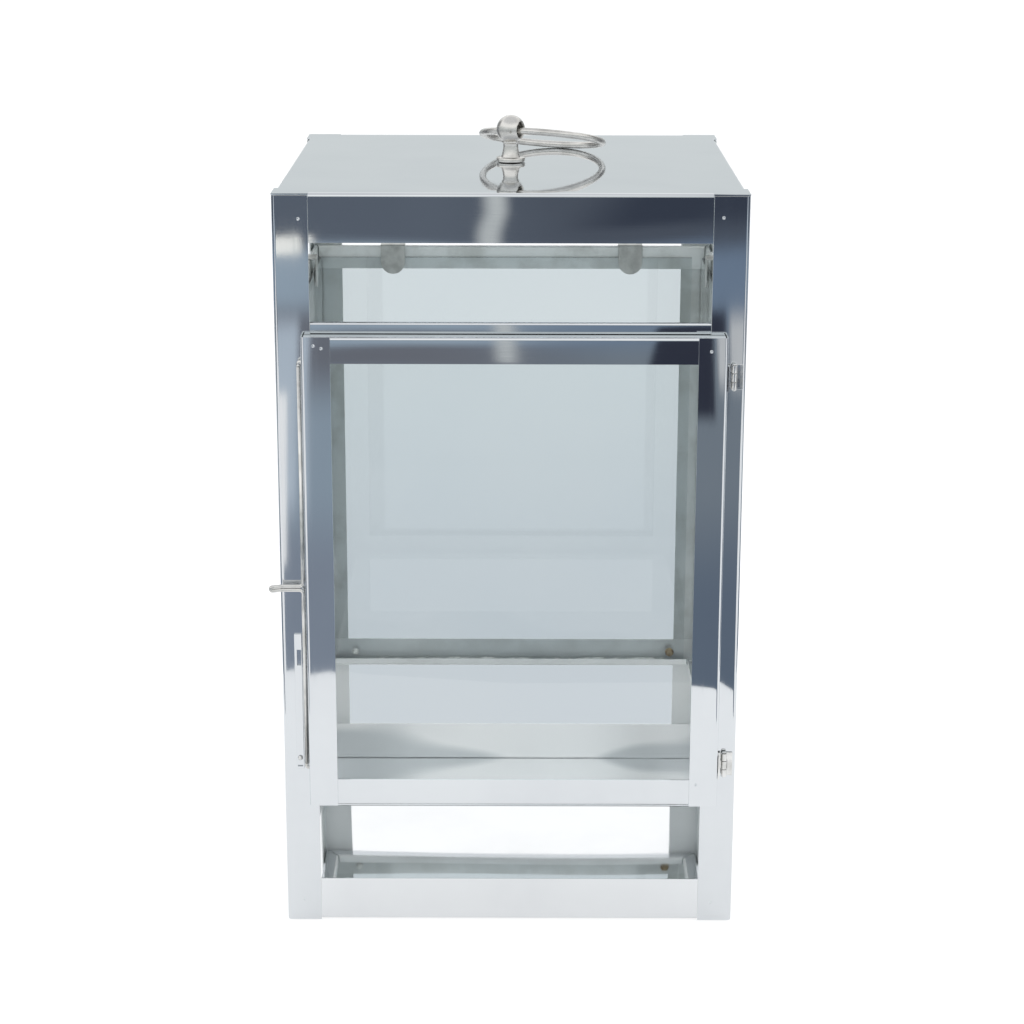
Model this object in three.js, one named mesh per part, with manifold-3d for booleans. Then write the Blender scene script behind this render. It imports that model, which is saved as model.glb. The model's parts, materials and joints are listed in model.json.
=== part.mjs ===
// Candle lantern of folded, polished stainless steel sheet with glass panes, a hinged glass door,
// a spring-wire latch and a ball finial that carries a ring handle.
// Millimetres, +Z up. The origin is the middle of the footprint, on the ground; the door faces -Y.

import * as THREE from 'three';
import { mergeVertices } from 'three/addons/utils/BufferGeometryUtils.js';
import Module from 'manifold-3d';

// ---- driving dimensions ----
const SIDE = 250;                // square plan, over the corner posts
const HEIGHT = 411.2;            // ground to roof
const SHEET = 0.8;               // sheet thickness
const GAP = 0.3;                 // clearance between pieces that touch
const POST_LEG = 19;             // width of a corner post's face
const POST_BEND = 1.8;           // bend radii are to the middle of the sheet
const ROOF_SKIRT = 26.2;
const FLOOR_WALL = 24.6;
const PAN_BEND = 2;              // outer radius of the roof and floor folds
const CROSSBAR = { top: 342.8, bottom: 328.2, depth: 3 };
const GLASS_RAIL = { top: 83.9, bottom: 68, shelf: 9, lip: 4.6 };
const PANE = { thickness: 2, top: 335.5, length: 233, rearShift: -3.9 };
const CLIP = { width: 15, sheet: 0.6, bottom: 325.2, spread: 74, outerDrop: 6 };
const DOOR = { left: -110.6, right: 114.7, bottom: 72.5, top: 336.6, depth: 8.5, back: 0.6 };
const DOOR_STILE = 15.6;
const DOOR_RAIL = { top: 14.4, bottom: 15.2 };
const DOOR_BEND = 1.4;
const HINGE = { length: 13.5, inset: 22.4, radius: 1.6, axisX: 118.5, axisOut: 2.4, pin: 0.8 };
const LATCH = { x: -112.2, out: 4, wire: 1, top: 322.6, bottom: 93.5, lever: 197.3, reach: 17.4 };
const STRIKER = { left: -118, right: -113.9, bottom: 91.5, top: 170, sheet: 0.9 };
const FINIAL = { ball: 7.5, ballHeight: 19.6, turn: 34, hole: 4, stud: 3 };
const RING = { radius: 34.75, wire: 1.85, drop: 1.6 };

const FRONT = -SIDE / 2;
const FACE = SHEET + GAP;        // depth of the rails' outer face behind the post faces
const RIGHT_ANGLE = Math.PI / 2;

// ---- materials ----
const steel = (color, roughness) => new THREE.MeshStandardMaterial({ color, roughness, metalness: 1 });
const POLISHED = steel(0xd3d8dc, 0.08);
const MATTE = steel(0xb4b8b4, 0.42);
const TURNED = steel(0xc9c7c0, 0.24);
const GLASS = new THREE.MeshStandardMaterial({ color: 0xcfdcdc, roughness: 0.03, metalness: 0 });

// ---- closed solids and booleans ----
const wasm = await Module();
wasm.setup();

function toSolid(geometry) {
  const bare = geometry.clone();
  bare.deleteAttribute('normal');
  bare.deleteAttribute('uv');
  const merged = mergeVertices(bare, 1e-4);
  const mesh = new wasm.Mesh({
    numProp: 3,
    vertProperties: new Float32Array(merged.attributes.position.array),
    triVerts: new Uint32Array(merged.index.array),
  });
  return new wasm.Manifold(mesh);
}

function toGeometry(solid) {
  const mesh = solid.getMesh();
  const geometry = new THREE.BufferGeometry();
  geometry.setAttribute('position', new THREE.BufferAttribute(mesh.vertProperties, 3));
  geometry.setIndex(new THREE.BufferAttribute(mesh.triVerts, 1));
  return geometry;
}

const combine = (method, first, others) =>
  toGeometry(others.reduce((solid, other) => solid[method](toSolid(other)), toSolid(first)));
const join = (first, ...others) => combine('add', first, others);
const cut = (first, ...others) => combine('subtract', first, others);
const common = (first, ...others) => combine('intersect', first, others);

// ---- outlines ----
const point = (x, y) => new THREE.Vector2(x, y);

function arc(cx, cy, radius, from, to, steps) {
  return Array.from({ length: steps + 1 }, (_, i) => {
    const angle = from + (to - from) * i / steps;
    return point(cx + radius * Math.cos(angle), cy + radius * Math.sin(angle));
  });
}

// Rounds the inner corners of a path in space; each corner may have its own radius.
function rounded(corners, radii, steps = 4) {
  const path = [corners[0]];
  for (let i = 1; i < corners.length - 1; i++) {
    const radius = Array.isArray(radii) ? radii[i - 1] : radii;
    const back = corners[i - 1].clone().sub(corners[i]).normalize();
    const ahead = corners[i + 1].clone().sub(corners[i]).normalize();
    const half = back.angleTo(ahead) / 2;
    const bisector = back.clone().add(ahead).normalize();
    const centre = corners[i].clone().addScaledVector(bisector, radius / Math.sin(half));
    const first = corners[i].clone().addScaledVector(back, radius / Math.tan(half)).sub(centre);
    const last = corners[i].clone().addScaledVector(ahead, radius / Math.tan(half)).sub(centre);
    const sweep = first.angleTo(last);
    for (let k = 0; k <= steps; k++) {
      const t = k / steps;
      const spoke = first.clone().multiplyScalar(Math.sin((1 - t) * sweep) / Math.sin(sweep));
      spoke.addScaledVector(last, Math.sin(t * sweep) / Math.sin(sweep));
      path.push(centre.clone().add(spoke));
    }
  }
  path.push(corners[corners.length - 1]);
  return path;
}

// The outline of a bent strip, from the corners of its middle line.
function bentStrip(corners, thickness, bend) {
  const line = rounded(corners.map(([x, y]) => new THREE.Vector3(x, y, 0)), bend);
  const sides = [[], []];
  line.forEach((here, i) => {
    const before = line[Math.max(i - 1, 0)];
    const after = line[Math.min(i + 1, line.length - 1)];
    const into = here.clone().sub(before).normalize();
    const out = after.clone().sub(here).normalize();
    const along = into.clone().add(out).normalize();
    const stretch = i > 0 && i < line.length - 1 ? 1 / along.dot(into) : 1;
    const offset = point(-along.y, along.x).multiplyScalar(stretch * thickness / 2);
    sides[0].push(point(here.x + offset.x, here.y + offset.y));
    sides[1].unshift(point(here.x - offset.x, here.y - offset.y));
  });
  return [...sides[0], ...sides[1]];
}

const rectangle = (x0, y0, x1, y1) => [point(x0, y0), point(x1, y0), point(x1, y1), point(x0, y1)];

// ---- extrusions ----
function extrudeZ(outline, from, to) {
  const shape = new THREE.Shape(outline);
  const geometry = new THREE.ExtrudeGeometry(shape, { depth: to - from, bevelEnabled: false });
  return geometry.translate(0, 0, from);
}

// Takes an outline drawn in (y, z) and runs it along x.
function extrudeX(outline, from, to) {
  const axes = [[0, 1, 0], [0, 0, 1], [1, 0, 0]].map((axis) => new THREE.Vector3(...axis));
  return extrudeZ(outline, from, to).applyMatrix4(new THREE.Matrix4().makeBasis(...axes));
}

const block = (x0, x1, y0, y1, z0, z1) => extrudeZ(rectangle(x0, y0, x1, y1), z0, z1);

function rod(radius, from, to, x, y, sides = 16) {
  const geometry = new THREE.CylinderGeometry(radius, radius, to - from, sides);
  return geometry.rotateX(RIGHT_ANGLE).translate(x, y, (from + to) / 2);
}

// A path through given points, so that a wire's straight runs need no extra sections.
class PointPath extends THREE.Curve {
  constructor(points) {
    super();
    this.points = points;
  }

  getPointAt(t) {
    return this.points[Math.round(t * (this.points.length - 1))].clone();
  }

  getTangentAt(t) {
    const i = Math.round(t * (this.points.length - 1));
    const before = this.points[Math.max(i - 1, 0)];
    const after = this.points[Math.min(i + 1, this.points.length - 1)];
    return after.clone().sub(before).normalize();
  }
}

function wire(corners, radii, radius, sides = 10) {
  const path = rounded(corners.map((corner) => new THREE.Vector3(...corner)), radii, 5);
  const section = new THREE.Shape(arc(0, 0, radius, 0, 2 * Math.PI, sides).slice(0, -1));
  const options = { steps: path.length - 1, extrudePath: new PointPath(path), bevelEnabled: false };
  return new THREE.ExtrudeGeometry(section, options);
}

// ---- the scene graph ----
const lantern = new THREE.Group();

function place(name, geometry, material, quarterTurns = 0) {
  const mesh = new THREE.Mesh(geometry, material);
  mesh.name = name;
  mesh.rotation.z = quarterTurns * RIGHT_ANGLE;
  lantern.add(mesh);
}

const SIDES = ['front', 'right', 'rear', 'left'];            // in quarter turns from the front
const CORNERS = ['front_left', 'front_right', 'rear_right', 'rear_left'];

// ---- roof and floor: square pans folded from one sheet ----
function pan(half, height, bend) {
  const form = (side, base, radius, top) => {
    const section = [
      ...arc(-side + radius, base + radius, radius, 2 * RIGHT_ANGLE, 3 * RIGHT_ANGLE, 4),
      ...arc(side - radius, base + radius, radius, -RIGHT_ANGLE, 0, 4),
      point(side, top),
      point(-side, top),
    ];
    const alongX = extrudeX(section, -side, side);
    return common(alongX, alongX.clone().rotateZ(RIGHT_ANGLE));
  };
  const plan = 1.6;                                          // radius of the upright corners
  const outline = [];
  for (let k = 0; k < 4; k++) {
    const middle = point(half - plan, half - plan).rotateAround(point(0, 0), k * RIGHT_ANGLE);
    outline.push(...arc(middle.x, middle.y, plan, k * RIGHT_ANGLE, (k + 1) * RIGHT_ANGLE, 3));
  }
  const outer = common(form(half, 0, bend, height), extrudeZ(outline, 0, height));
  return cut(outer, form(half - SHEET, SHEET, bend - SHEET, height + 1));
}

function roofPan() {
  const upright = pan(SIDE / 2 - FACE, ROOF_SKIRT, PAN_BEND);
  const folded = upright.rotateX(2 * RIGHT_ANGLE).translate(0, 0, HEIGHT);
  const inner = SIDE / 2 - POST_LEG - GAP;
  const tips = [[-1, -1], [1, -1], [1, 1], [-1, 1]].map(([x, y]) => {
    const square = block(inner, SIDE / 2, inner, SIDE / 2, HEIGHT - SHEET, HEIGHT);
    return square.translate(x < 0 ? -inner - SIDE / 2 : 0, y < 0 ? -inner - SIDE / 2 : 0, 0);
  });
  const studHole = rod(FINIAL.stud + GAP, HEIGHT - 2 * SHEET, HEIGHT + 1, 0, 0);
  return cut(join(folded, ...tips), studHole);
}

place('roof_pan', roofPan(), POLISHED);
place('floor_tray', pan(SIDE / 2 - FACE, FLOOR_WALL, PAN_BEND), POLISHED);

// ---- corner posts: angles that stand outside the rails ----
const postMiddle = FRONT + SHEET / 2;
const postOutline = bentStrip(
  [[FRONT + POST_LEG, postMiddle], [postMiddle, postMiddle], [postMiddle, FRONT + POST_LEG]],
  SHEET,
  POST_BEND,
);
const post = extrudeZ(postOutline, 0, HEIGHT - SHEET - GAP);
CORNERS.forEach((corner, k) => place(`post_${corner}`, post, POLISHED, k));

// ---- crossbars and glass rails: four of each, mitred behind the posts ----
function mitred(section) {
  const clearance = 2 * GAP;
  const reach = SIDE / 2;
  const wedge = [point(0, -clearance), point(clearance - reach, -reach), point(reach - clearance, -reach)];
  return common(extrudeX(section, -reach, reach), extrudeZ(wedge, 0, HEIGHT));
}

const barOuter = FRONT + FACE;
const barInner = barOuter + CROSSBAR.depth;
const half = SHEET / 2;
const crossbar = mitred(bentStrip(
  [
    [barOuter + half, CROSSBAR.bottom],
    [barOuter + half, CROSSBAR.top - half],
    [barInner - half, CROSSBAR.top - half],
    [barInner - half, CROSSBAR.bottom],
  ],
  SHEET,
  1,
));
const glassRail = mitred(bentStrip(
  [
    [barOuter + half, GLASS_RAIL.top],
    [barOuter + half, GLASS_RAIL.bottom + half],
    [barOuter + GLASS_RAIL.shelf - half, GLASS_RAIL.bottom + half],
    [barOuter + GLASS_RAIL.shelf - half, GLASS_RAIL.bottom + GLASS_RAIL.lip],
  ],
  SHEET,
  1.2,
));
SIDES.forEach((side, k) => {
  place(`crossbar_${side}`, crossbar, POLISHED, k);
  place(`glass_rail_${side}`, glassRail, POLISHED, k);
});

// ---- glass panes on three sides, and the clips that hold them to the crossbars ----
const paneOuter = barInner + GAP;
const paneInner = paneOuter + PANE.thickness;
const paneBottom = GLASS_RAIL.bottom + SHEET + GAP;

function pane(shift) {
  const reach = PANE.length / 2;
  return block(shift - reach, shift + reach, paneOuter, paneInner, paneBottom, PANE.top);
}

function paneClip(x) {
  const middle = CLIP.sheet / 2;
  const outer = barOuter - GAP - middle;
  const inner = paneInner + GAP + middle;
  const top = CROSSBAR.top + GAP + middle;
  const strip = bentStrip(
    [[outer, top - CLIP.outerDrop], [outer, top], [inner, top], [inner, CLIP.bottom]],
    CLIP.sheet,
    0.7,
  );
  const reach = CLIP.width / 2;
  const face = [
    ...arc(0, CLIP.bottom + reach, reach, -2 * RIGHT_ANGLE, 0, 12),
    point(reach, top + 1),
    point(-reach, top + 1),
  ];
  const rounder = extrudeZ(face, -SIDE, SIDE).rotateX(RIGHT_ANGLE);
  return common(extrudeX(strip, -reach, reach), rounder).translate(x, 0, 0);
}

// In the frame of the rear side, +X points the other way, so its shift changes sign.
const PANED = { right: [1, 1.5], rear: [2, -PANE.rearShift], left: [3, -1.5] };
for (const [side, [turns, shift]] of Object.entries(PANED)) {
  place(`pane_${side}`, pane(shift), GLASS, turns);
  place(`pane_clip_${side}_1`, paneClip(-CLIP.spread), MATTE, turns);
  place(`pane_clip_${side}_2`, paneClip(CLIP.spread), MATTE, turns);
}

// ---- door: stiles over the rail ends, glass behind, tabs behind the glass ----
const doorFront = FRONT - DOOR.depth;
const doorBack = FRONT - DOOR.back;
const doorRailFront = doorFront + FACE;
const doorGlassFront = doorRailFront + FACE;
const doorGlassBack = doorGlassFront + PANE.thickness;
const railInset = FACE + GAP;

function stile(edge, inward) {
  const middle = edge + inward * half;
  const corners = [
    [edge + inward * DOOR_STILE, doorFront + half],
    [middle, doorFront + half],
    [middle, doorBack],
  ];
  const geometry = extrudeZ(bentStrip(corners, SHEET, DOOR_BEND), DOOR.bottom, DOOR.top);
  if (inward < 0) {
    return geometry;
  }
  const hole = LATCH.wire + GAP;
  const holes = [LATCH.top, LATCH.bottom].map((z) =>
    rod(hole, -4, 4, 0, 0, 12).rotateY(RIGHT_ANGLE).translate(edge, FRONT - LATCH.out, z));
  return cut(geometry, ...holes);
}

function doorRail(edge, inward, height) {
  const middle = edge + inward * half;
  const section = bentStrip(
    [[doorRailFront + half, edge + inward * height], [doorRailFront + half, middle], [doorBack, middle]],
    SHEET,
    DOOR_BEND,
  );
  return extrudeX(section, DOOR.left + railInset, DOOR.right - railInset);
}

function doorTab(edge, inward, z) {
  const sheet = CLIP.sheet;
  const wall = edge + inward * (FACE + sheet / 2);
  const level = doorGlassBack + GAP + sheet / 2;
  const corners = [[wall, doorBack - sheet], [wall, level], [wall + inward * 5, level]];
  return extrudeZ(bentStrip(corners, sheet, 0.6), z - 6, z + 6);
}

place('door_stile_left', stile(DOOR.left, 1), POLISHED);
place('door_stile_right', stile(DOOR.right, -1), POLISHED);
place('door_rail_top', doorRail(DOOR.top, -1, DOOR_RAIL.top), POLISHED);
place('door_rail_bottom', doorRail(DOOR.bottom, 1, DOOR_RAIL.bottom), POLISHED);
const glassInset = SHEET + 0.9;
const doorGlass = block(
  DOOR.left + glassInset,
  DOOR.right - glassInset,
  doorGlassFront,
  doorGlassBack,
  DOOR.bottom + glassInset,
  DOOR.top - glassInset,
);
place('door_glass', doorGlass, GLASS);
for (const [level, z] of [['upper', DOOR.top - 60], ['lower', DOOR.bottom + 60]]) {
  place(`door_tab_${level}_left`, doorTab(DOOR.left, 1, z), MATTE);
  place(`door_tab_${level}_right`, doorTab(DOOR.right, -1, z), MATTE);
}

// ---- hinges: a frame leaf with two knuckles, a door leaf with one, and a pin ----
function hinge(level, bottom) {
  const top = bottom + HINGE.length;
  const axisY = FRONT - HINGE.axisOut;
  const [low, high] = [bottom + 4.5, top - 4.5];
  const bore = rod(HINGE.pin + GAP, bottom - 1, top + 1, HINGE.axisX, axisY, 12);
  const knuckle = (from, to) => rod(HINGE.radius, from, to, HINGE.axisX, axisY);

  const leafFront = FRONT - GAP - 0.7;
  const notch = HINGE.axisX + HINGE.radius + GAP;
  const frameLeaf = cut(
    join(
      block(HINGE.axisX, notch + 1, leafFront, FRONT - GAP, bottom, low - GAP),
      block(HINGE.axisX, notch + 1, leafFront, FRONT - GAP, high + GAP, top),
      block(notch, SIDE / 2 - 1.7, leafFront, FRONT - GAP, bottom, top),
      knuckle(bottom, low - GAP),
      knuckle(high + GAP, top),
    ),
    bore,
  );
  const leafX = DOOR.right + GAP;
  const webBack = leafFront - GAP;
  const doorLeaf = cut(
    join(
      block(leafX, leafX + 0.6, doorFront + 1.2, webBack, bottom, top),
      block(leafX, HINGE.axisX - HINGE.radius - GAP, webBack - 0.6, webBack, bottom, top),
      block(leafX, HINGE.axisX, webBack - 0.6, webBack, low, high),
      knuckle(low, high),
    ),
    bore,
  );
  const pin = join(
    rod(HINGE.pin, bottom - 0.5, top + 0.5, HINGE.axisX, axisY, 12),
    rod(HINGE.radius - GAP, top + GAP, top + 2.4 * GAP, HINGE.axisX, axisY, 12),
  );
  place(`hinge_${level}_frame_leaf`, frameLeaf, TURNED);
  place(`hinge_${level}_door_leaf`, doorLeaf, TURNED);
  place(`hinge_${level}_pin`, pin, TURNED);
}

hinge('upper', DOOR.top - HINGE.inset - HINGE.length / 2);
hinge('lower', DOOR.bottom + HINGE.inset - HINGE.length / 2);

// ---- latch: a spring wire along the door's edge, with a hairpin lever over the post ----
const latchY = FRONT - LATCH.out;
const anchorReach = 2.4;
const tail = DOOR.left + SHEET + 0.5;

function latchWire() {
  const strand = LATCH.wire + 0.08;
  const [upper, lower] = [LATCH.lever + strand, LATCH.lever - strand];
  const tip = LATCH.x - LATCH.reach;
  const knee = tip + 6;
  const forward = latchY - 2;
  const corners = [
    [LATCH.x, latchY, LATCH.top - anchorReach - GAP],
    [LATCH.x, latchY, upper],
    [knee, latchY, upper],
    [tip, forward, upper],
    [tip, forward, lower],
    [knee, latchY, lower],
    [LATCH.x, latchY, lower],
    [LATCH.x, latchY, LATCH.bottom + anchorReach + GAP],
  ];
  return wire(corners, [2, 6, 1, 1, 6, 2], LATCH.wire);
}

function latchAnchor(z, along) {
  const corners = [[tail, latchY, z], [LATCH.x, latchY, z], [LATCH.x, latchY, z + along * anchorReach]];
  return wire(corners, [1.2], LATCH.wire);
}

place('latch_wire', latchWire(), TURNED);
place('latch_anchor_upper', latchAnchor(LATCH.top, -1), TURNED);
place('latch_anchor_lower', latchAnchor(LATCH.bottom, 1), TURNED);

// ---- striker plate on the left post, beside the latch wire ----
function striker() {
  const [back, front] = [FRONT - GAP, FRONT - GAP - STRIKER.sheet];
  const middle = (STRIKER.left + STRIKER.right) / 2;
  const rivetZ = STRIKER.bottom + 6.5;
  const through = (x0, x1, z0, z1) => block(x0, x1, front - 1, back + 1, z0, z1);
  const plate = cut(
    block(STRIKER.left, STRIKER.right, front, back, STRIKER.bottom, STRIKER.top),
    through(STRIKER.left + 1.4, STRIKER.right - 0.5, STRIKER.top - 18, STRIKER.top - 9),
    through(middle - 1.3, middle + 1.3, STRIKER.bottom + 1.4, STRIKER.bottom + 2.2),
    rod(1, -2, 2, 0, 0, 12).rotateX(RIGHT_ANGLE).translate(middle, front, rivetZ),
  );
  const dome = common(new THREE.SphereGeometry(1.5, 16, 10), block(-2, 2, -2, 2, 0.4, 2));
  const rivet = join(dome.translate(0, 0, -0.4), rod(0.7, -1, 0.2, 0, 0, 12));
  place('striker_plate', plate, POLISHED);
  place('striker_rivet', rivet.rotateX(RIGHT_ANGLE).translate(middle, front - GAP, rivetZ), TURNED);
}
striker();

// ---- finial: turned knob with a cross hole, stud, washer and nut ----
const finialBase = HEIGHT + GAP;
const finialTurn = -FINIAL.turn * Math.PI / 180;

function finial() {
  const start = Math.asin(4 / FINIAL.ball) - RIGHT_ANGLE;    // where the neck meets the ball
  const profile = [
    point(0, 0), point(7.7, 0), point(7.7, 1.2), point(6.8, 1.4), point(6.8, 2.4),
    point(5.6, 2.6), point(5.3, 3.6), point(4.5, 5.2), point(3.95, 7), point(3.75, 8.6),
    point(3.8, 9.9), point(4.3, 10.3), point(4.4, 11), point(4.05, 11.5),
    ...arc(0, FINIAL.ballHeight, FINIAL.ball, start, RIGHT_ANGLE, 14).slice(0, -1),
    point(0, FINIAL.ballHeight + FINIAL.ball),
  ];
  const turned = new THREE.LatheGeometry(profile, 32).rotateX(RIGHT_ANGLE);
  const stud = rod(FINIAL.stud, -8, 0.5, 0, 0);
  const mouth = FINIAL.ball;
  const flare = [
    point(0, -mouth), point(FINIAL.hole + 1.5, -mouth), point(FINIAL.hole, 2 - mouth),
    point(FINIAL.hole, mouth - 2), point(FINIAL.hole + 1.5, mouth), point(0, mouth),
  ];
  const hole = new THREE.LatheGeometry(flare, 20).rotateZ(RIGHT_ANGLE).translate(0, 0, FINIAL.ballHeight);
  return cut(join(turned, stud), hole).rotateZ(finialTurn).translate(0, 0, finialBase);
}

function hexagonNut(across, bore, from, to) {
  const outer = rod(across / Math.sqrt(3), from, to, 0, 0, 6);
  return cut(outer, rod(bore, from - 1, to + 1, 0, 0));
}

const roofUnder = HEIGHT - SHEET;
place('finial_knob', finial(), TURNED);
const washer = cut(
  rod(6.5, roofUnder - GAP - 1, roofUnder - GAP, 0, 0, 24),
  rod(FINIAL.stud + GAP, roofUnder - 3, roofUnder + 1, 0, 0),
);
place('finial_washer', washer, MATTE);
const nutTop = roofUnder - 2 * GAP - 1;
place('finial_nut', hexagonNut(10, FINIAL.stud + GAP, nutTop - 4, nutTop), MATTE);

// ---- ring handle: hangs in the ball's hole and rests on the roof behind it ----
function ringHandle() {
  const axisZ = finialBase + FINIAL.ballHeight - RING.drop;
  const restZ = HEIGHT + GAP + RING.wire;
  const tilt = Math.asin((axisZ - restZ) / (2 * RING.radius));
  const ring = new THREE.TorusGeometry(RING.radius, RING.wire, 10, 48).translate(0, RING.radius, 0);
  return ring.rotateX(-tilt).rotateZ(finialTurn).translate(0, 0, axisZ);
}
place('ring_handle', ringHandle(), TURNED);

export default lantern;
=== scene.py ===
"""Looks for the polished steel candle lantern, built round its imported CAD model. Metres, +Z up."""

import json
import math
import random

import bmesh
import bpy
from mathutils import Matrix, Vector


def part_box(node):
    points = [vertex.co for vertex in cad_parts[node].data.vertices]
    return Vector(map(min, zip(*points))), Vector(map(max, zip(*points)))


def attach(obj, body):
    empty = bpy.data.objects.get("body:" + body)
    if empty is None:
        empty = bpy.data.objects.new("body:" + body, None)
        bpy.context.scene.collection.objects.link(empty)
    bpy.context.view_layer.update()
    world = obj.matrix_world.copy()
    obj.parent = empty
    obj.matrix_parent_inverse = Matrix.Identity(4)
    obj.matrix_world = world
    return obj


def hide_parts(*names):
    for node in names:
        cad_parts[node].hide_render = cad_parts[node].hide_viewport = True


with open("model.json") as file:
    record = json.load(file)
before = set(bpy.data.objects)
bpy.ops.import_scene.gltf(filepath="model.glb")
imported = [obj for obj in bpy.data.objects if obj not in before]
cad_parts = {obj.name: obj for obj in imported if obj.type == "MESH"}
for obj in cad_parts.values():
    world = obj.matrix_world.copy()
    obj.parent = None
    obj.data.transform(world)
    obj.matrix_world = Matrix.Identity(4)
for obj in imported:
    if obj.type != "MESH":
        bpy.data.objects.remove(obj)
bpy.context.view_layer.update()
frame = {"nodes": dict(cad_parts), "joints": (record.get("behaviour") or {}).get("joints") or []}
MM = 0.001

# ---- sizes read from the frame ----
ROOF_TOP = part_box("roof_pan")[1].z
HALF_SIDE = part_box("roof_pan")[1].x
JOINTS = {joint["name"]: joint for joint in frame["joints"]}
GAP = 0.3 * MM             # between the roof and what stands on it, or lies on it before it leans

# ---- camera: place in metres, angles in degrees ----
CAMERA_PLACE = Vector((0.00286, -1.39922, 0.59836))
CAMERA_DOWN = 15.736
CAMERA_PAN = 0.086
CAMERA_ROLL = 0.12
CAMERA_LENS = 86.38
CAMERA_SENSOR = 36
CAMERA_REACH = 50


def link_object(name, data):
    """A new object in the scene."""
    thing = bpy.data.objects.new(name, data)
    bpy.context.scene.collection.objects.link(thing)
    return thing


def make_camera():
    data = bpy.data.cameras.new("camera")
    data.sensor_width = CAMERA_SENSOR
    data.lens = CAMERA_LENS
    data.clip_end = CAMERA_REACH
    camera = link_object("camera", data)
    turn = Matrix.Rotation(math.radians(CAMERA_PAN), 4, "Z")
    tip = Matrix.Rotation(math.radians(90 - CAMERA_DOWN), 4, "X")
    roll = Matrix.Rotation(math.radians(CAMERA_ROLL), 4, "Z")
    camera.matrix_world = Matrix.Translation(CAMERA_PLACE) @ turn @ tip @ roll
    bpy.context.scene.camera = camera


# ---- node helpers ----
class Nodes:
    """Adds and links shader nodes with little writing."""

    def __init__(self, tree):
        self.tree = tree
        tree.nodes.clear()

    def add(self, kind, inputs=None, **settings):
        node = self.tree.nodes.new(kind)
        for key, value in settings.items():
            setattr(node, key, value)
        for key, value in (inputs or {}).items():
            self.put(node.inputs[key], value)
        return node

    def put(self, socket, value):
        if isinstance(value, bpy.types.NodeSocket):
            self.tree.links.new(value, socket)
        else:
            socket.default_value = value

    def math(self, operation, *values):
        node = self.add("ShaderNodeMath", operation=operation)
        for socket, value in zip(node.inputs, values):
            self.put(socket, value)
        return node.outputs[0]

    def vector(self, operation, *values, out=0):
        node = self.add("ShaderNodeVectorMath", operation=operation)
        for socket, value in zip(node.inputs, values):
            self.put(socket, value)
        return node.outputs[out]

    def remap(self, value, low, high, to_low=0.0, to_high=1.0, smooth=True):
        kind = "SMOOTHSTEP" if smooth else "LINEAR"
        inputs = {0: value, 1: low, 2: high, 3: to_low, 4: to_high}
        return self.add("ShaderNodeMapRange", inputs, interpolation_type=kind).outputs[0]

    def noise(self, place, scale, detail=2.0, rough=0.5):
        """Noise over a place. Three scales in place of one stretch it along the axes."""
        if isinstance(scale, tuple):
            place = self.vector("MULTIPLY", place, scale)
            scale = 1.0
        inputs = {"Vector": place, "Scale": scale, "Detail": detail, "Roughness": rough}
        return self.add("ShaderNodeTexNoise", inputs).outputs["Fac"]

    def mix(self, factor, first, second):
        node = self.add("ShaderNodeMix", data_type="RGBA")
        for key, value in ((0, factor), (6, first), (7, second)):
            self.put(node.inputs[key], value)
        return node.outputs[2]

    def bump(self, height, distance, **more):
        inputs = {"Height": height, "Distance": distance, **more}
        return self.add("ShaderNodeBump", inputs).outputs[0]

    def place(self):
        return self.add("ShaderNodeTexCoord").outputs["Object"]

    def split(self, vector):
        return self.add("ShaderNodeSeparateXYZ", {0: vector}).outputs


def new_material(name):
    material = bpy.data.materials.new(name)
    material.use_nodes = True
    return material, Nodes(material.node_tree)


def finish_material(nodes, shader):
    output = nodes.add("ShaderNodeOutputMaterial")
    nodes.put(output.inputs["Surface"], shader)


def finish_surface(nodes, **inputs):
    """Ends a material with one principled surface. Words of an input's name are joined by _ here."""
    named = {key.replace("_", " "): value for key, value in inputs.items()}
    shader = nodes.add("ShaderNodeBsdfPrincipled", named)
    finish_material(nodes, shader.outputs[0])


def finish_glow(nodes, colour, strength=1.0, mask=None):
    """Ends a material with plain light, which shows only where the mask is 1 if there is one."""
    shader = nodes.add("ShaderNodeEmission", {"Color": colour, "Strength": strength})
    if mask is not None:
        clear = nodes.add("ShaderNodeBsdfTransparent")
        parts = {0: mask, 1: clear.outputs[0], 2: shader.outputs[0]}
        shader = nodes.add("ShaderNodeMixShader", parts)
    finish_material(nodes, shader.outputs[0])


# ---- polished sheet: noises are (scale, detail, roughness) as far as given, and a range runs from
# where an effect starts to where it is full ----
GRAINS = {"x": (2.0, 2600.0, 2600.0), "y": (2600.0, 2.0, 2600.0), "z": (2600.0, 2600.0, 2.0)}
GRAIN_NOISE = (3.0, 0.6)                      # detail and roughness of the polishing lines
GRAIN_RANGE = (0.3, 0.75)
GRAIN_ROUGHNESS = (0.012, 0.045)
GRAIN_HEIGHT = 0.0000008
SMEAR_NOISE = ((14.0, 14.0, 5.0), 4.0, 0.55)
SMEAR_RANGE = (0.45, 0.8)
SMEAR_ROUGHNESS = (0.0, 0.035)
WAVE_NOISE = ((7.0, 7.0, 4.5), 0.0)
WAVE_HEIGHT = 0.0011
BLOTCH_NOISE = (34.0, 5.0, 0.6)
BLOTCH_RANGE = (0.42, 0.7)
SHADE_RANGE = (0.35, 0.75)
STEEL = (0.745, 0.77, 0.79, 1)
STEEL_SHADE = (0.70, 0.725, 0.75, 1)
LEVEL = (1.0, 1.0, 0.0)                       # keeps only the level part of a place
INSIDE_RANGE = (-0.01, -0.02)

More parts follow.
